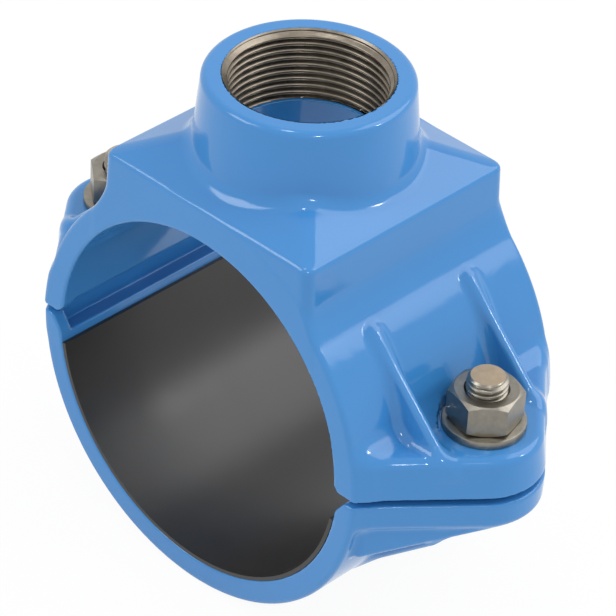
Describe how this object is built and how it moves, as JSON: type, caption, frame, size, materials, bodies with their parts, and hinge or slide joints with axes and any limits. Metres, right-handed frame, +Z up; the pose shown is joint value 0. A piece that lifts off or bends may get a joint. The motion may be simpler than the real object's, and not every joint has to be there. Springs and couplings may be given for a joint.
{
  "type": "tapping saddle",
  "caption": "Bolted tapping saddle: coated cast halves clamp round a pipe, with a threaded branch boss, a rubber lining and an outlet seal.",
  "frame": {"origin": "on the pipe's axis at the middle of the saddle's length", "axes": "+Y along the pipe, +Z up the branch, +X across the pipe towards the ear of bolt_right"},
  "size_m": [0.184, 0.082, 0.1566],
  "materials": {
    "epoxy": "glossy blue epoxy on cast iron",
    "rubber": "satin black rubber",
    "zinc": "dull zinc-plated steel",
    "bare_iron": "bare machined thread"
  },
  "bodies": {
    "saddle_top": {"upper_saddle": "epoxy", "branch_seal": "rubber", "washer_left": "zinc", "washer_right": "zinc"},
    "strap": {"lower_saddle": "epoxy", "lower_liner": "rubber", "bolt_left": "zinc", "bolt_right": "zinc"},
    "nut_left": {"nut_left": "zinc"},
    "nut_right": {"nut_right": "zinc"}
  },
  "joints": [
    {"name": "strap_slide", "type": "slide", "parent": "saddle_top", "child": "strap", "axis": [0, 0, -1], "range_m": [-0.0015, 0.0045]},
    {"name": "nut_left_turn", "type": "hinge", "parent": "saddle_top", "child": "nut_left", "pos_m": [-0.073, 0, 0.021], "axis": [0, 0, 1], "range_deg": [-310, 930]},
    {"name": "nut_right_turn", "type": "hinge", "parent": "saddle_top", "child": "nut_right", "pos_m": [0.073, 0, 0.021], "axis": [0, 0, 1], "range_deg": [-310, 930]}
  ],
  "couplings": [
    {"joint": "nut_left_turn", "follows": "strap_slide", "rad_per_m": 3590.4},
    {"joint": "nut_right_turn", "follows": "strap_slide", "rad_per_m": 3590.4}
  ]
}
